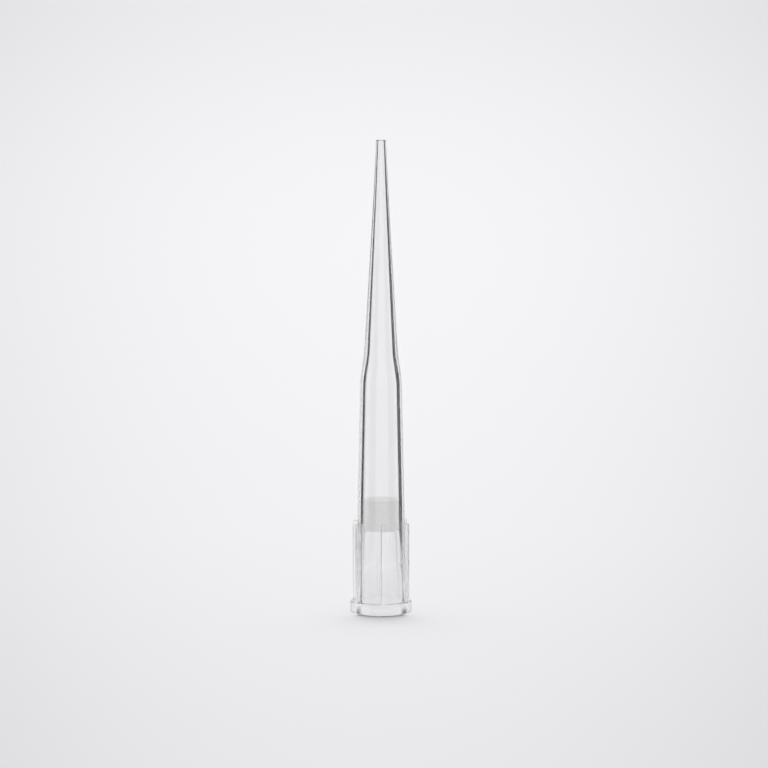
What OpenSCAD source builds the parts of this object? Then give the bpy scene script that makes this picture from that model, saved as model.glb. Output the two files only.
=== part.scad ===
// Filter pipette tip of the 300 microlitre class, standing on its rim.
// The frame's origin is the middle of the rim's open face, and +Z runs up to the orifice.
// The tip is one moulded piece. A porous plug is pressed into its bore above the collar.

/* [Overall] */
// Length from the rim's open face to the orifice
tip_length = 59.5; // [50:0.5:75]
// Height at which the fins end and the plain barrel begins
collar_h = 11.35; // [9.2:0.05:14]
// Height at which the barrel ends and the neck begins
barrel_top = 29.45; // [20:0.05:36]
// Length of the neck between the barrel and the long cone
neck_h = 3.3; // [1.5:0.1:6]

/* [Socket] */
// Diameter of the short straight bore that grips the pipette's nozzle
seal_d = 4.92; // [4.2:0.02:6.2]
// Height at which the straight bore begins
seal_z = 6.1; // [4.8:0.1:7.1]
// Length of the straight bore
seal_h = 2.4; // [1:0.1:3]
// Step on radius from the straight bore out to the wider socket
socket_step = 0.09; // [0.04:0.01:0.2]
// Growth on radius from the step down to the mouth
socket_draft = 0.02; // [0:0.01:0.1]
// Flare on radius at the mouth
mouth_flare = 0.11; // [0.02:0.01:0.2]
// Height of the flare at the mouth
mouth_h = 0.7; // [0.2:0.1:1.2]

/* [Rim and fins] */
// Wall of the socket just above the rim
socket_wall = 0.55; // [0.35:0.01:0.8]
// Height of the rim
rim_h = 1.4; // [0.7:0.05:2.5]
// How far the rim stands out from the socket
rim_out = 0.73; // [0.3:0.01:1.2]
// Number of fins round the socket
fin_count = 6; // [4:1:16]
// Width of a fin at its outer edge
fin_tip_w = 0.5; // [0.3:0.02:1]
// Width of a fin where it leaves the socket
fin_root_w = 0.62; // [0.3:0.02:1.2]
// How far a fin stands out from the foot of the socket
fin_out = 0.7; // [0.2:0.01:1]

/* [Barrel and cone] */
// Wall of the barrel beside the plug
barrel_wall = 0.695; // [0.45:0.005:0.9]
// Loss on radius of the bore from the plug to the neck
barrel_draft = 0.295; // [0.05:0.005:0.5]
// Wall of the neck
neck_wall = 0.625; // [0.35:0.005:0.8]
// Loss on radius along the neck
neck_drop = 0.49; // [0.1:0.01:0.7]
// Diameter of the orifice
orifice_d = 0.69; // [0.3:0.01:1.2]
// Wall at the orifice
orifice_wall = 0.265; // [0.15:0.005:0.5]
// Share of the cone's length at which its outside turns to the finer taper of the nose
nose_share = 0.645; // [0.5:0.005:0.75]
// How far inside a straight taper the outside lies there
nose_slim = 0.07; // [0:0.01:0.12]
// Share of the cone's length at which its bore turns to the finer taper of the nose
nose_bore_share = 0.76; // [0.5:0.005:0.85]
// How far inside a straight taper the bore lies there
nose_bore_slim = 0.035; // [0:0.005:0.06]

/* [Filter plug] */
// Length of the taper that leads from the straight bore in to the plug's seat
seat_lead = 1.9; // [0.5:0.1:3]
// Length of the plug
plug_h = 3.9; // [1.5:0.05:6]
// Step on radius from the straight bore in to the plug's seat
seat_step = 0.17; // [0.02:0.01:0.25]
// Loss on radius of the bore along the plug
seat_draft = 0.03; // [0:0.01:0.06]
// Gap on radius between the plug and its seat
plug_gap = 0.01; // [0.005:0.005:0.03]

/* [Hidden] */
$fn = 96;
// Steps in a rounded corner
arc_steps = 6;
// How far a cutter runs past the face it opens
past = 1;

// Heights of the bore's stations, from the mouth to the orifice
step_top = seal_z;
step_foot = seal_z - 0.4;
seal_top = seal_z + seal_h;
plug_z = seal_top + seat_lead;
plug_top = plug_z + plug_h;
neck_top = barrel_top + neck_h;
// The bore turns in a little before the outside does, which keeps the wall even
bore_lead = 0.3;

// Radii of the bore at those stations
seal_r = seal_d / 2;
socket_r = seal_r + socket_step;
lead_r = socket_r + socket_draft;
mouth_r = lead_r + mouth_flare;
seat_r = seal_r - seat_step;
seat_end_r = seat_r - seat_draft;
barrel_bore_r = seat_end_r - barrel_draft;
neck_bore_r = barrel_bore_r - neck_drop;
orifice_r = orifice_d / 2;
nose_bore_z = neck_top - bore_lead + nose_bore_share * (tip_length - neck_top + bore_lead);
nose_bore_r = neck_bore_r + nose_bore_share * (orifice_r - neck_bore_r) - nose_bore_slim;

// Radii of the outside
socket_foot_r = lead_r + socket_wall;
rim_r = socket_foot_r + rim_out;
fin_r = socket_foot_r + fin_out;
barrel_r = seat_r + barrel_wall;
barrel_end_r = barrel_bore_r + neck_wall;
cone_r = neck_bore_r + neck_wall;
nose_r = orifice_r + orifice_wall;
nose_z = neck_top + nose_share * (tip_length - neck_top);
nose_foot_r = cone_r + nose_share * (nose_r - cone_r) - nose_slim;

// Radii of the rounded corners
rim_round = 0.12;
lip_round = 0.08;
barrel_round = 12;

function unit(v) = v / norm(v);

// Points of an arc of radius r that rounds the corner b between a and c
function round_corner(a, b, c, r) =
    let (
        to_a = unit(a - b),
        to_c = unit(c - b),
        half = acos(to_a * to_c) / 2,
        middle = b + unit(to_a + to_c) * r / sin(half),
        from = b + to_a * r / tan(half) - middle,
        to = b + to_c * r / tan(half) - middle,
        start = atan2(from.y, from.x),
        turn = atan2(from.x * to.y - from.y * to.x, from * to)
    )
    [for (i = [0 : arc_steps])
        middle + r * [cos(start + turn * i / arc_steps), sin(start + turn * i / arc_steps)]];

// An outline with each corner [radius from the axis, height, round] rounded in turn
function rounded(corners) =
    let (last = len(corners) - 1, at = [for (k = corners) [k.x, k.y]])
    [for (i = [0 : last])
        each corners[i].z == 0
            ? [at[i]]
            : round_corner(at[i - 1], at[i], at[i + 1], corners[i].z)];

module outside() {
    rotate_extrude()
        polygon(rounded([
            [0, 0, 0],
            [rim_r, 0, rim_round],
            [rim_r, rim_h, rim_round],
            [socket_foot_r, rim_h, 0],
            [barrel_r, collar_h, 0],
            [barrel_end_r, barrel_top, barrel_round],
            [cone_r, neck_top, barrel_round],
            [nose_foot_r, nose_z, 0],
            [nose_r, tip_length, lip_round],
            [0, tip_length, 0]
        ]));
}

// Section of one fin, which narrows from its root to its outer edge
module fin_section() {
    polygon([
        [0, -fin_root_w / 2],
        [socket_foot_r, -fin_root_w / 2],
        [fin_r, -fin_tip_w / 2],
        [fin_r, fin_tip_w / 2],
        [socket_foot_r, fin_root_w / 2],
        [0, fin_root_w / 2]
    ]);
}

module fins() {
    for (i = [0 : fin_count - 1])
        rotate(-90 + i * 360 / fin_count)
            translate([0, 0, rim_h / 2])
                linear_extrude(collar_h - rim_h / 2)
                    fin_section();
}

// The whole bore, open at the mouth and at the orifice
module bore() {
    rotate_extrude()
        polygon(rounded([
            [0, -past, 0],
            [mouth_r, -past, 0],
            [mouth_r, 0, 0],
            [lead_r, mouth_h, 0],
            [socket_r, step_foot, 0],
            [seal_r, step_top, 0],
            [seal_r, seal_top, 0],
            [seat_r, plug_z, 0],
            [seat_end_r, plug_top, 0],
            [barrel_bore_r, barrel_top - bore_lead, barrel_round],
            [neck_bore_r, neck_top - bore_lead, barrel_round],
            [nose_bore_r, nose_bore_z, 0],
            [orifice_r, tip_length, 0],
            [orifice_r, tip_length + past, 0],
            [0, tip_length + past, 0]
        ]));
}

// One moulding: rim, finned socket, barrel, neck and long cone
module tip_body() {
    color([0.90, 0.93, 0.95, 0.4])
        difference() {
            union() {
                outside();
                fins();
            }
            bore();
        }
}

// Sintered porous plug that fills the bore just above the straight length
module filter_plug() {
    color("white")
        translate([0, 0, plug_z])
            cylinder(h = plug_h, r1 = seat_r - plug_gap, r2 = seat_end_r - plug_gap);
}

tip_body();
filter_plug();
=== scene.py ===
import math

import bmesh
import bpy
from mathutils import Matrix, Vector, noise


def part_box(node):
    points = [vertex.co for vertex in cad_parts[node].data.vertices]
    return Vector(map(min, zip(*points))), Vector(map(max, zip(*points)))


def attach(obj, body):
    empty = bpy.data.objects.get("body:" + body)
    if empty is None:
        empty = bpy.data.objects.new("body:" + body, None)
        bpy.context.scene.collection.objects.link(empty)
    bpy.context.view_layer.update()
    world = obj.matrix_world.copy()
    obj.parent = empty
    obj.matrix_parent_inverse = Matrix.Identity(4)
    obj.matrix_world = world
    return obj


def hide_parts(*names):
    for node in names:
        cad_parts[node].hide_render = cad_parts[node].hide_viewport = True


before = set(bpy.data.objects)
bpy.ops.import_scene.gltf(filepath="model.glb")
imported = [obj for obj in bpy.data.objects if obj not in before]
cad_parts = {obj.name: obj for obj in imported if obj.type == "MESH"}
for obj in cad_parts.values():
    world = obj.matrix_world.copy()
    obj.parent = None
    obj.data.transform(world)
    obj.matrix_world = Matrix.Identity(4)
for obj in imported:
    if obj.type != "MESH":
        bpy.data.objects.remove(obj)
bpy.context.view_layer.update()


# ---------------------------------------------------------------- tip body
# The tip is one injection moulding in natural polypropylene. A polished core pin forms its stepped
# bore, and the split cavity round the pin forms the rim, the six fins of the socket, the barrel,
# the neck and the long cone.

MM = 0.001


def rounded(corners, steps):
    """Points (radius, height) of an outline whose corners (radius, height, round) are rounded in turn."""
    points = []
    for place, (radius, height, bend) in enumerate(corners):
        corner = Vector((radius, height))
        if not bend:
            points.append(corner)
            continue
        before = (Vector(corners[place - 1][:2]) - corner).normalized()
        after = (Vector(corners[(place + 1) % len(corners)][:2]) - corner).normalized()
        half = before.angle(after) / 2
        middle = corner + (before + after).normalized() * bend / math.sin(half)
        start = corner + before * bend / math.tan(half) - middle
        end = corner + after * bend / math.tan(half) - middle
        turn = math.atan2(start.x * end.y - start.y * end.x, start.dot(end))
        for step in range(steps + 1):
            angle = turn * step / steps
            points.append(middle + Vector((
                start.x * math.cos(angle) - start.y * math.sin(angle),
                start.x * math.sin(angle) + start.y * math.cos(angle),
            )))
    return points


def filled(points, gap):
    """The same outline with points added, so that none is further than gap from the next."""
    dense = [points[0]]
    for start, end in zip(points, points[1:]):
        parts = max(1, math.ceil((end - start).length / gap))
        dense += [start.lerp(end, part / parts) for part in range(1, parts + 1)]
    return dense


# The outside in mm, from the rim up to the orifice. The ROUND values are the radii of its corners.
RIM_ROUND = 0.12
RIM_R = 3.85
RIM_H = 1.4
SOCKET_FOOT_R = 3.12
BARREL_ROUND = 12.0
BARREL_R = 2.985
COLLAR_H = 11.35
BARREL_END_R = 2.59
BARREL_TOP = 29.45
CONE_R = 2.10
NECK_TOP = 32.75
NOSE_FOOT_R = 1.07
NOSE_FOOT = 50.0
LIP_ROUND = 0.08
NOSE_R = 0.61
TIP_LENGTH = 59.5

# The bore in mm, from the mouth up to the orifice. Its neck begins BORE_LEAD below the outside's.
BORE_ROUND = 0.04
MOUTH_R = 2.68
LEAD_R = 2.57
MOUTH_H = 0.7
SOCKET_R = 2.55
STEP_FOOT = 5.7
SEAL_R = 2.46
STEP_TOP = 6.1
SEAL_TOP = 8.5
SEAT_R = 2.29
SEAT_Z = 10.4
SEAT_END_R = 2.26
SEAT_TOP = 14.3
BORE_LEAD = 0.3
BARREL_BORE_R = 1.965
NECK_BORE_R = 1.475
NOSE_BORE_R = 0.58
NOSE_BORE_Z = 53.0
ORIFICE_R = 0.345

OUTLINE_STEPS = 5

outside = rounded([
    (MOUTH_R, 0, 0),
    (RIM_R, 0, RIM_ROUND),
    (RIM_R, RIM_H, RIM_ROUND),
    (SOCKET_FOOT_R, RIM_H, 0),
    (BARREL_R, COLLAR_H, 0),
    (BARREL_END_R, BARREL_TOP, BARREL_ROUND),
    (CONE_R, NECK_TOP, BARREL_ROUND),
    (NOSE_FOOT_R, NOSE_FOOT, 0),
    (NOSE_R, TIP_LENGTH, LIP_ROUND),
    (ORIFICE_R, TIP_LENGTH, 0),
], OUTLINE_STEPS)[1:-1]
bore = rounded([
    (NOSE_R, TIP_LENGTH, 0),
    (ORIFICE_R, TIP_LENGTH, BORE_ROUND),
    (NOSE_BORE_R, NOSE_BORE_Z, 0),
    (NECK_BORE_R, NECK_TOP - BORE_LEAD, BARREL_ROUND),
    (BARREL_BORE_R, BARREL_TOP - BORE_LEAD, BARREL_ROUND),
    (SEAT_END_R, SEAT_TOP, 0),
    (SEAT_R, SEAT_Z, 0),
    (SEAL_R, SEAL_TOP, 0),
    (SEAL_R, STEP_TOP, BORE_ROUND),
    (SOCKET_R, STEP_FOOT, BORE_ROUND),
    (LEAD_R, MOUTH_H, 0),
    (MOUTH_R, 0, BORE_ROUND),
    (RIM_R, 0, 0),
], OUTLINE_STEPS)[1:-1]

# The fins in mm. Each leaves the socket at its root and ends in an edge with rounded corners.
FIN_COUNT = 6
FIN_R = 3.82
FIN_ROOT_W = 0.62
FIN_TIP_W = 0.5
FIN_ROUND = 0.08
LEAST_ROUND = 0.01
FLANK_STEPS = 3
CORNER_STEPS = 4
EDGE_STEPS = 4


def fin_outline(wall_r, fin_r, inset):
    """Half of a fin's section, as (across, outward) points from its root to the middle of its outer edge."""
    share = (wall_r - SOCKET_FOOT_R) / (FIN_R - SOCKET_FOOT_R)
    root = (FIN_ROOT_W + (FIN_TIP_W - FIN_ROOT_W) * share) / 2
    tip = FIN_TIP_W / 2 - inset
    bend = max(FIN_ROUND - inset, LEAST_ROUND)
    foot = Vector((root, math.sqrt(wall_r ** 2 - root ** 2)))
    shoulder = Vector((tip, fin_r - bend))
    half = [foot.lerp(shoulder, step / FLANK_STEPS) for step in range(FLANK_STEPS)]
    for step in range(CORNER_STEPS + 1):
        angle = math.pi / 2 * step / CORNER_STEPS
        half.append(Vector((tip - bend + bend * math.cos(angle), fin_r - bend + bend * math.sin(angle))))
    for step in range(1, EDGE_STEPS // 2 + 1):
        half.append(Vector(((tip - bend) * (1 - 2 * step / EDGE_STEPS), fin_r)))
    return half


# Above the fins, the points that belonged to a fin lie this far to each side of its middle.
ROOT_ANGLE = math.asin((FIN_ROOT_W + (FIN_TIP_W - FIN_ROOT_W) * (BARREL_R - SOCKET_FOOT_R)
                        / (FIN_R - SOCKET_FOOT_R)) / 2 / BARREL_R)
WALL_STEPS = 22


def ring(mesh, wall_r, height, fin_r=0.0, inset=0.0):
    """A ring of vertices round the tip: a plain circle, or with fin_r the section of the finned socket."""
    fin_points = len(fin_outline(SOCKET_FOOT_R, FIN_R, 0.0))
    place = []
    for fin in range(FIN_COUNT):
        middle = -math.pi / 2 + fin * 2 * math.pi / FIN_COUNT
        out = Vector((math.cos(middle), math.sin(middle)))
        across = Vector((-out.y, out.x))
        if fin_r > wall_r:
            half = fin_outline(wall_r, fin_r, inset)
            side = [out * v + across * u for u, v in half]
            other = [out * v - across * u for u, v in half]
            root_angle = math.asin(half[0].x / wall_r)
        else:
            root_angle = ROOT_ANGLE
            side = []
            other = []
            for step in range(fin_points):
                angle = root_angle * (1 - step / (fin_points - 1))
                side.append((out * math.cos(angle) + across * math.sin(angle)) * wall_r)
                other.append((out * math.cos(angle) - across * math.sin(angle)) * wall_r)
        place += other + side[-2::-1]
        free = 2 * math.pi / FIN_COUNT - 2 * root_angle
        for step in range(1, WALL_STEPS):
            angle = middle + root_angle + free * step / WALL_STEPS
            place.append(Vector((math.cos(angle), math.sin(angle))) * wall_r)
    return [mesh.verts.new((spot.x * MM, spot.y * MM, height * MM)) for spot in place]


def skin(mesh, rings, closed):
    """Quads between each ring and the next, and from the last back to the first if closed."""
    pairs = list(zip(rings, rings[1:]))
    if closed:
        pairs.append((rings[-1], rings[0]))
    for lower, upper in pairs:
        for spot in range(len(lower)):
            after = (spot + 1) % len(lower)
            mesh.faces.new((lower[spot], lower[after], upper[after], upper[spot]))


WELD_GAP = 0.0002


def shown(name, mesh, sharp):
    """Puts a finished mesh in the scene, smooth where its faces meet at less than sharp degrees."""
    bmesh.ops.remove_doubles(mesh, verts=mesh.verts, dist=WELD_GAP * MM)
    bmesh.ops.recalc_face_normals(mesh, faces=mesh.faces)
    data = bpy.data.meshes.new(name)
    mesh.to_mesh(data)
    mesh.free()
    data.shade_smooth()
    data.set_sharp_from_angle(angle=math.radians(sharp))
    thing = bpy.data.objects.new(name, data)
    bpy.context.scene.collection.objects.link(thing)
    return thing


FIN_TOP_STEPS = 4
OUTLINE_GAP = 0.9
BODY_SHARP = 30

body_mesh = bmesh.new()
body_rings = []
for radius, height in filled(outside, OUTLINE_GAP):
    finned = RIM_H - RIM_ROUND < height < COLLAR_H - FIN_ROUND and radius < FIN_R
    if math.isclose(height, COLLAR_H, rel_tol=1e-6):
        for step in range(FIN_TOP_STEPS + 1):
            turn = math.pi / 2 * step / FIN_TOP_STEPS
            inset = FIN_ROUND - FIN_ROUND * math.cos(turn)
            level = COLLAR_H - FIN_ROUND + FIN_ROUND * math.sin(turn)
            body_rings.append(ring(body_mesh, BARREL_R, level, FIN_R - inset, inset))
    body_rings.append(ring(body_mesh, radius, height, FIN_R if finned else 0.0))
for radius, height in filled(bore, OUTLINE_GAP):
    body_rings.append(ring(body_mesh, radius, height))
skin(body_mesh, body_rings, True)
tip = shown("moulded_tip", body_mesh, BODY_SHARP)
tip.modifiers.new("even_normals", "WEIGHTED_NORMAL").keep_sharp = True


def linear(hex_colour):
    """Linear red, green, blue and alpha of an sRGB colour written as six hex digits."""
    parts = [int(hex_colour[start:start + 2], 16) / 255 for start in (0, 2, 4)]
    return [part / 12.92 if part <= 0.04045 else ((part + 0.055) / 1.055) ** 2.4 for part in parts] + [1.0]


def add_node(tree, kind, settings=None, inputs=None):
    """Adds a node with its settings. Each input is set to a value, or linked if it is given a socket."""
    made = tree.nodes.new(kind)
    for name, value in (settings or {}).items():
        setattr(made, name, value)
    for name, value in (inputs or {}).items():
        if isinstance(value, bpy.types.NodeSocket):
            tree.links.new(value, made.inputs[name])
        else:
            made.inputs[name].default_value = value
    return made


def new_material(name):
    """An empty node material."""
    made = bpy.data.materials.new(name)
    made.use_nodes = True
    made.node_tree.nodes.clear()
    return made


# Natural polypropylene bends light by 1.49, and its fine crystals make it very slightly milky. Where the
# mould is polished it is clear. The collar's outside and the socket below the bore's step are satin, and
# blur what lies behind them. The melt's flow leaves faint ripples, 0.8 mm wide and 20 times as long.
CLEAR_GLOSS = 0.03
COLLAR_SATIN = 0.2
SOCKET_SATIN = 0.16
SATIN_FADE = 0.4
RIPPLE_W = 0.8
RIPPLE_DEPTH = 0.0001

polypropylene = new_material("moulded_natural_polypropylene")
nodes = polypropylene.node_tree
place = add_node(nodes, "ShaderNodeTexCoord").outputs["Object"]
stretched = add_node(nodes, "ShaderNodeMapping", {}, {
    "Vector": place,
    "Scale": (1.0, 1.0, 1 / 20),
}).outputs[0]
ripple = add_node(nodes, "ShaderNodeTexNoise", {}, {
    "Vector": stretched,
    "Scale": 1 / (RIPPLE_W * MM),
    "Detail": 2.0,
}).outputs["Fac"]
relief = add_node(nodes, "ShaderNodeBump", {}, {
    "Strength": 1.0,
    "Distance": RIPPLE_DEPTH * MM,
    "Height": ripple,
}).outputs[0]
lift = add_node(nodes, "ShaderNodeSeparateXYZ", {}, {0: place}).outputs["Z"]
collar_finish = add_node(nodes, "ShaderNodeMapRange", {}, {
    "Value": lift,
    "From Min": COLLAR_H * MM,
    "From Max": (COLLAR_H + SATIN_FADE) * MM,
    "To Min": COLLAR_SATIN,
    "To Max": CLEAR_GLOSS,
}).outputs[0]
bore_finish = add_node(nodes, "ShaderNodeMapRange", {}, {
    "Value": lift,
    "From Min": STEP_FOOT * MM,
    "From Max": STEP_TOP * MM,
    "To Min": SOCKET_SATIN,
    "To Max": CLEAR_GLOSS,
}).outputs[0]
level_place = add_node(nodes, "ShaderNodeVectorMath", {"operation": "MULTIPLY"}, {
    0: place,
    1: (1, 1, 0),
}).outputs[0]
reach = add_node(nodes, "ShaderNodeVectorMath", {"operation": "LENGTH"}, {0: level_place}).outputs["Value"]
outside_face = add_node(nodes, "ShaderNodeMath", {"operation": "GREATER_THAN"}, {
    0: reach,
    1: (BARREL_R + MOUTH_R) / 2 * MM,
}).outputs[0]
finish = add_node(nodes, "ShaderNodeMix", {}, {0: outside_face, 2: bore_finish, 3: collar_finish}).outputs[0]
plastic = add_node(nodes, "ShaderNodeBsdfPrincipled", {}, {
    "Base Color": linear("FCFCFC"),
    "Transmission Weight": 0.97,
    "Roughness": finish,
    "IOR": 1.49,
    "Normal": relief,
}).outputs[0]
add_node(nodes, "ShaderNodeOutputMaterial", {}, {"Surface": plastic})
tip.data.materials.append(polypropylene)

# Light reaches the plug and the floor through the clear tip, so the tip takes none of it away.
tip.visible_shadow = False
tip.visible_diffuse = False

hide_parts("tip_body")
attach(tip, "root")


# ---------------------------------------------------------------- filter plug
# The plug is a slightly tapered cylinder of white polyethylene grains, sintered together so that
# air passes between them. It is pressed in through the socket and stops in its tapered seat.

PLUG_GAP = 0.01
PLUG_FOOT_R = SEAT_R - PLUG_GAP
PLUG_TOP_R = SEAT_END_R - PLUG_GAP
PLUG_ROUND = 0.06
PLUG_ROUND_STEPS = 3
PLUG_HUB_R = 0.08
PLUG_SIDES = 176
PLUG_STEP = 0.09
PLUG_SHARP = 60
GRAIN_W = 0.2
GRAIN_DEPTH = 0.02

plug_low, plug_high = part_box("filter_plug")
plug_foot = plug_low.z / MM
plug_top = plug_high.z / MM
plug_outline = filled(rounded([
    (PLUG_HUB_R, plug_foot, 0),
    (PLUG_FOOT_R, plug_foot, PLUG_ROUND),
    (PLUG_TOP_R, plug_top, PLUG_ROUND),
    (PLUG_HUB_R, plug_top, 0),
], PLUG_ROUND_STEPS), PLUG_STEP)

plug_mesh = bmesh.new()
plug_rings = []
for radius, height in plug_outline:
    circle = []
    for side in range(PLUG_SIDES):
        angle = 2 * math.pi * side / PLUG_SIDES
        circle.append(plug_mesh.verts.new((
            radius * math.cos(angle) * MM, radius * math.sin(angle) * MM, height * MM)))
    plug_rings.append(circle)
skin(plug_mesh, plug_rings, False)
plug_mesh.faces.new(plug_rings[0])
plug_mesh.faces.new(plug_rings[-1])
bmesh.ops.recalc_face_normals(plug_mesh, faces=plug_mesh.faces)
plug_mesh.normal_update()
for vertex in plug_mesh.verts:
    near = noise.voronoi(vertex.co / (GRAIN_W * MM), distance_metric="DISTANCE")[0][0]
    vertex.co -= vertex.normal * min(near, 1.0) ** 2 * GRAIN_DEPTH * MM
plug = shown("sintered_plug", plug_mesh, PLUG_SHARP)

# Sintered polyethylene is matt and white. Its grains are about 0.2 mm wide, and the joints between
# them look a little darker.
GRAIN_MIDDLE = 0.2
GRAIN_JOINT = 0.9

polyethylene = new_material("sintered_white_polyethylene")
nodes = polyethylene.node_tree
place = add_node(nodes, "ShaderNodeTexCoord").outputs["Object"]
grain = add_node(nodes, "ShaderNodeTexVoronoi", {}, {
    "Vector": place,
    "Scale": 1 / (GRAIN_W * MM),
}).outputs["Distance"]
shade = add_node(nodes, "ShaderNodeMapRange", {}, {
    "Value": grain,
    "From Min": GRAIN_MIDDLE,
    "From Max": GRAIN_JOINT,
}).outputs[0]
tone = add_node(nodes, "ShaderNodeMix", {"data_type": "RGBA"}, {
    0: shade,
    6: linear("F4F4F4"),
    7: linear("E8E8E8"),
}).outputs[2]
relief = add_node(nodes, "ShaderNodeBump", {"invert": True}, {
    "Strength": 0.5,
    "Distance": GRAIN_DEPTH * MM,
    "Height": grain,
}).outputs[0]
matt = add_node(nodes, "ShaderNodeBsdfPrincipled", {}, {
    "Base Color": tone,
    "Roughness": 0.9,
    "IOR": 1.5,
    "Specular IOR Level": 0.25,
    "Normal": relief,
}).outputs[0]
add_node(nodes, "ShaderNodeOutputMaterial", {}, {"Surface": matt})
plug.data.materials.append(polyethylene)

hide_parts("filter_plug")
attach(plug, "root")


# ---------------------------------------------------------------- studio floor
# A wide sheet of matt white paper. Its colour holds painted light: painted shade makes it a little darker
# in front of the tip and at the sides, as a sheet under soft lamps is, and it is of one pale tone from two
# metres on. Its painted darker sides show to the camera alone, so that the tip looks through to an even
# sheet.

FLOOR_HALF = 3.0
FLOOR_Z = -0.02 * MM
CAMERA_BEARING = -5.3
SHEET_NEAR = -0.12
SHEET_FAR = 0.9
# The painted shade at the sheet's sides: its middle, its half width in mm and its darkest level.
SIDE_MIDDLE = -1.2
SIDE_HALF = 60
SIDE_PAINTED_SHADE = 0.855
FAR_FROM = 1.0
FAR_TO = 2.0

floor_mesh = bmesh.new()
corners = [(-1, -1), (1, -1), (1, 1), (-1, 1)]
floor_mesh.faces.new([floor_mesh.verts.new((x * FLOOR_HALF, y * FLOOR_HALF, FLOOR_Z)) for x, y in corners])
floor = shown("paper_floor", floor_mesh, BODY_SHARP)

paper = new_material("matt_white_paper_painted_falloff")
nodes = paper.node_tree
place = add_node(nodes, "ShaderNodeNewGeometry").outputs["Position"]
turned = add_node(nodes, "ShaderNodeVectorRotate", {"rotation_type": "Z_AXIS"}, {
    "Vector": place,
    "Angle": math.radians(-CAMERA_BEARING),
}).outputs[0]
apart = add_node(nodes, "ShaderNodeSeparateXYZ", {}, {0: turned}).outputs
depth = add_node(nodes, "ShaderNodeMapRange", {}, {
    "Value": apart["Y"],
    "From Min": SHEET_NEAR,
    "From Max": SHEET_FAR,
}).outputs[0]
# Painted light: this ramp from front to back is darkest in front of the tip and brightest some 0.3 to 0.5 m
# behind it, a painted pool of lamp light.
painted_falloff = add_node(nodes, "ShaderNodeValToRGB", {}, {"Fac": depth})
stops = [
    (0.0, "E9E9EB"),
    (0.055, "ECECEE"),
    (0.12, "F0F0F2"),
    (0.18, "F3F3F5"),
    (0.3, "F5F5F7"),
    (0.45, "F7F7F9"),
    (0.6, "F7F7F9"),
    (0.8, "F3F3F5"),
    (1.0, "EEEEF0"),
]
ramp = painted_falloff.color_ramp
ramp.interpolation = "B_SPLINE"
for number, (spot, colour) in enumerate(stops):
    stop = ramp.elements[number] if number < 2 else ramp.elements.new(spot)
    stop.position = spot
    stop.color = linear(colour)
spread = add_node(nodes, "ShaderNodeMapRange", {}, {
    "Value": depth,
    "To Min": 1 + SHEET_NEAR,
    "To Max": 1 + SHEET_FAR,
}).outputs[0]
# Painted shade: the sheet darkens towards its sides, for the camera alone, over a width that grows further
# back.
aside = add_node(nodes, "ShaderNodeMath", {"operation": "SUBTRACT"}, {
    0: apart["X"],
    1: SIDE_MIDDLE * MM,
}).outputs[0]
aside = add_node(nodes, "ShaderNodeMath", {"operation": "DIVIDE"}, {0: aside, 1: spread}).outputs[0]
aside = add_node(nodes, "ShaderNodeMath", {"operation": "MULTIPLY"}, {0: aside, 1: aside}).outputs[0]
level = add_node(nodes, "ShaderNodeMapRange", {}, {
    "Value": aside,
    "From Max": (SIDE_HALF * MM) ** 2,
    "To Min": 1.0,
    "To Max": SIDE_PAINTED_SHADE,
}).outputs[0]
seen = add_node(nodes, "ShaderNodeLightPath").outputs["Is Camera Ray"]
level = add_node(nodes, "ShaderNodeMix", {}, {0: seen, 2: 1.0, 3: level}).outputs[0]
sheet = add_node(nodes, "ShaderNodeMix", {"data_type": "RGBA", "blend_type": "MULTIPLY"}, {
    0: 1.0,
    6: painted_falloff.outputs["Color"],
    7: level,
}).outputs[2]
reach = add_node(nodes, "ShaderNodeVectorMath", {"operation": "LENGTH"}, {0: place}).outputs["Value"]
beyond = add_node(nodes, "ShaderNodeMapRange", {}, {
    "Value": reach,
    "From Min": FAR_FROM,
    "From Max": FAR_TO,
}).outputs[0]
sheet = add_node(nodes, "ShaderNodeMix", {"data_type": "RGBA"}, {
    0: beyond,
    6: sheet,
    7: linear("F5F5F7"),
}).outputs[2]
matt = add_node(nodes, "ShaderNodeBsdfDiffuse", {}, {"Color": sheet}).outputs[0]
add_node(nodes, "ShaderNodeOutputMaterial", {}, {"Surface": matt})
floor.data.materials.append(paper)


# ---------------------------------------------------------------- studio cards
# Four cards of dark felt stand round the tip, so that the walls of the clear tip show as thin dark
# lines. Only light that the tip has mirrored meets them. Above their pale foot it also has to come
# from the wall nearest to the eye, so that light mirrored by the others doesn't grey the bore.

CARD_STEPS = 12
CARD_SHARP = 60
LEAN_FROM = 25


def upright_card(name, first, last, distance, height, lean=0.0, flare=0.0):
    """A curved card round the tip from one bearing to another, in degrees from +Y, that no camera sees.
    Its first edge leans by lean degrees for each mm above LEAN_FROM. Its top is flare mm further out."""
    mesh = bmesh.new()
    rows = []
    for row in range(CARD_STEPS + 1):
        level = height * row / CARD_STEPS
        reach = (distance + flare * row / CARD_STEPS) * MM
        start = first + lean * max(0.0, level - LEAN_FROM)
        rows.append([])
        for step in range(CARD_STEPS + 1):
            angle = math.radians(start + (last - start) * step / CARD_STEPS)
            rows[-1].append(mesh.verts.new((reach * math.sin(angle), reach * math.cos(angle), level * MM)))
    for lower, upper in zip(rows, rows[1:]):
        for spot in range(CARD_STEPS):
            mesh.faces.new((lower[spot], lower[spot + 1], upper[spot + 1], upper[spot]))
    card = shown(name, mesh, CARD_SHARP)
    card.visible_camera = False
    return card


DARK_FROM = 34
DARK_TO = 75
DARK_DISTANCE = 30
DARK_HEIGHT = 120
FELT_HIGH = 9

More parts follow.
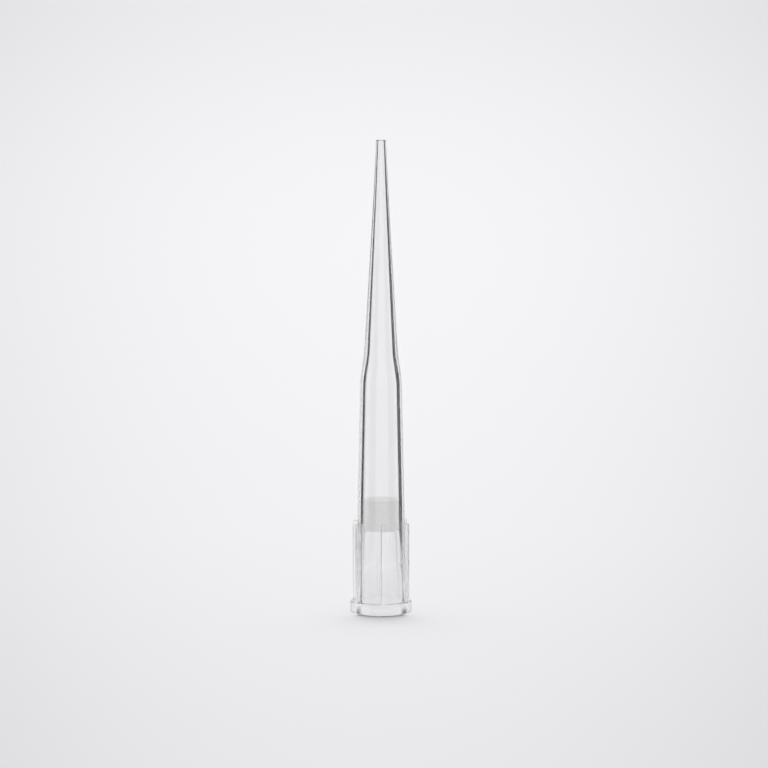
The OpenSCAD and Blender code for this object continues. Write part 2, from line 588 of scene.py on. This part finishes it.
felt = new_material("dark_felt")
nodes = felt.node_tree
paths = add_node(nodes, "ShaderNodeLightPath").outputs
mirrored = add_node(nodes, "ShaderNodeMath", {"operation": "GREATER_THAN"}, {
    0: paths["Glossy Depth"],
    1: 0.5,
}).outputs[0]
near_wall = add_node(nodes, "ShaderNodeMath", {"operation": "LESS_THAN"}, {
    0: paths["Transmission Depth"],
    1: 2.5,
}).outputs[0]
spot = add_node(nodes, "ShaderNodeNewGeometry").outputs["Position"]
lift = add_node(nodes, "ShaderNodeSeparateXYZ", {}, {0: spot}).outputs["Z"]
low = add_node(nodes, "ShaderNodeMath", {"operation": "LESS_THAN"}, {0: lift, 1: FELT_HIGH * MM}).outputs[0]
met = add_node(nodes, "ShaderNodeMath", {"operation": "MAXIMUM"}, {0: near_wall, 1: low}).outputs[0]
met = add_node(nodes, "ShaderNodeMath", {"operation": "MULTIPLY"}, {0: met, 1: mirrored}).outputs[0]
darkness = add_node(nodes, "ShaderNodeMapRange", {"interpolation_type": "SMOOTHSTEP"}, {
    "Value": lift,
    "From Min": 0.0,
    "From Max": FELT_HIGH * MM,
}).outputs[0]
felt_tone = add_node(nodes, "ShaderNodeMix", {"data_type": "RGBA"}, {
    0: darkness,
    6: linear("C8C8CA"),
    7: linear("080808"),
}).outputs[2]
dark = add_node(nodes, "ShaderNodeEmission", {}, {"Color": felt_tone}).outputs[0]
clear = add_node(nodes, "ShaderNodeBsdfTransparent").outputs[0]
either = add_node(nodes, "ShaderNodeMixShader", {}, {0: met, 1: clear, 2: dark}).outputs[0]
add_node(nodes, "ShaderNodeOutputMaterial", {}, {"Surface": either})
for number, (middle, side, lean) in enumerate((
    (0, -1, 0.3),
    (0, 1, 0.84),
    (180, -1, 0.3),
    (180, 1, 0.3),
)):
    card = upright_card("dark_card_%d" % number, middle + side * DARK_FROM, middle + side * DARK_TO,
                        DARK_DISTANCE, DARK_HEIGHT, -side * lean)
    card.visible_diffuse = False
    card.visible_shadow = False
    card.data.materials.append(felt)

# The clear tip lets the light through, so two low cards round the front of its foot give its short soft
# shadow and the dark line where it stands. Only light that falls on the floor or the plug meets them.
SHADOW_MIDDLE = 180 - CAMERA_BEARING
SHADOW_SPREAD = 42
SHADOW_DISTANCE = 3.8
SHADOW_HEIGHT = 5.0
CONTACT_SPREAD = 48
CONTACT_HEIGHT = 0.6
CONTACT_FLARE = 0.5

cloth = new_material("black_cloth")
nodes = cloth.node_tree
dark = add_node(nodes, "ShaderNodeBsdfDiffuse", {}, {"Color": linear("101010")}).outputs[0]
add_node(nodes, "ShaderNodeOutputMaterial", {}, {"Surface": dark})
for name, spread, height, flare in (
    ("shadow_card", SHADOW_SPREAD, SHADOW_HEIGHT, 0.0),
    ("contact_card", CONTACT_SPREAD, CONTACT_HEIGHT, CONTACT_FLARE),
):
    card = upright_card(name, SHADOW_MIDDLE - spread, SHADOW_MIDDLE + spread,
                        SHADOW_DISTANCE, height, flare=flare)
    card.visible_glossy = False
    card.visible_transmission = False
    card.data.materials.append(cloth)

# The bore above the plug dims the light that falls on the plug's top. A veil of grey gauze does the same.
VEIL_R = 2.2
VEIL_LIFT = 0.15
VEIL_SIDES = 24

veil_mesh = bmesh.new()
veil_edge = []
for step in range(VEIL_SIDES):
    angle = 2 * math.pi * step / VEIL_SIDES
    veil_edge.append(veil_mesh.verts.new((
        VEIL_R * math.cos(angle) * MM, VEIL_R * math.sin(angle) * MM, (SEAT_TOP + VEIL_LIFT) * MM)))
veil_mesh.faces.new(veil_edge)
veil = shown("bore_veil", veil_mesh, CARD_SHARP)
veil.visible_camera = False
veil.visible_glossy = False
veil.visible_transmission = False
gauze = new_material("grey_gauze")
nodes = gauze.node_tree
thin = add_node(nodes, "ShaderNodeBsdfTransparent", {}, {"Color": linear("E9E9E9")}).outputs[0]
add_node(nodes, "ShaderNodeOutputMaterial", {}, {"Surface": thin})
veil.data.materials.append(gauze)


# ---------------------------------------------------------------- soft light
# A plain soft dome, brighter behind and above the tip, so that the short shadow falls to the front. The
# camera, mirrored light and light through the tip see a pale even wall in its place.

DOME = 0.68
GLOW = 1.45
GLOW_FROM = (0.0, 0.75, 0.6)
GLOW_POWER = 4.0

world = bpy.data.worlds.new("soft_dome")
bpy.context.scene.world = world
world.use_nodes = True
nodes = world.node_tree
nodes.nodes.clear()
paths = add_node(nodes, "ShaderNodeLightPath").outputs
seen = add_node(nodes, "ShaderNodeMath", {"operation": "MAXIMUM"}, {
    0: paths["Is Camera Ray"],
    1: paths["Is Glossy Ray"],
}).outputs[0]
seen = add_node(nodes, "ShaderNodeMath", {"operation": "MAXIMUM"}, {
    0: seen,
    1: paths["Is Transmission Ray"],
}).outputs[0]
outward = add_node(nodes, "ShaderNodeTexCoord").outputs["Generated"]
facing = add_node(nodes, "ShaderNodeVectorMath", {"operation": "DOT_PRODUCT"}, {
    0: outward,
    1: Vector(GLOW_FROM).normalized(),
}).outputs["Value"]
facing = add_node(nodes, "ShaderNodeMath", {"operation": "MAXIMUM"}, {0: facing, 1: 0.0}).outputs[0]
facing = add_node(nodes, "ShaderNodeMath", {"operation": "POWER"}, {0: facing, 1: GLOW_POWER}).outputs[0]
glow = add_node(nodes, "ShaderNodeMath", {"operation": "MULTIPLY_ADD"}, {
    0: facing,
    1: GLOW,
    2: DOME,
}).outputs[0]
lit = add_node(nodes, "ShaderNodeBackground", {}, {"Color": linear("FFFFFF"), "Strength": glow}).outputs[0]
wall = add_node(nodes, "ShaderNodeBackground", {}, {"Color": linear("F3F3F5"), "Strength": 1.0}).outputs[0]
both = add_node(nodes, "ShaderNodeMixShader", {}, {0: seen, 1: lit, 2: wall}).outputs[0]
add_node(nodes, "ShaderNodeOutputWorld", {}, {"Surface": both})


# ---------------------------------------------------------------- camera
# A long lens a little above the table, square to the tip, with one fin just right of the middle.

CAMERA_RISE = 7.55
CAMERA_DISTANCE = 1000 * MM
VIEW_HEIGHT = 96.2 * MM
AIM_HEIGHT = 28.82 * MM
AIM_ASIDE = 0.375 * MM
SENSOR = 36.0

bearing = math.radians(CAMERA_BEARING)
rise = math.radians(CAMERA_RISE)
back = Vector((math.sin(bearing) * math.cos(rise), -math.cos(bearing) * math.cos(rise), math.sin(rise)))
right = Vector((math.cos(bearing), math.sin(bearing), 0))
lens = bpy.data.cameras.new("camera")
lens.sensor_width = SENSOR
lens.lens = SENSOR * CAMERA_DISTANCE / VIEW_HEIGHT
camera = bpy.data.objects.new("camera", lens)
bpy.context.scene.collection.objects.link(camera)
camera.location = Vector((0, 0, AIM_HEIGHT)) + right * AIM_ASIDE + back * CAMERA_DISTANCE
camera.rotation_mode = "QUATERNION"
camera.rotation_quaternion = (-back).to_track_quat("-Z", "Y")
bpy.context.scene.camera = camera
bpy.context.scene.view_settings.view_transform = "Standard"
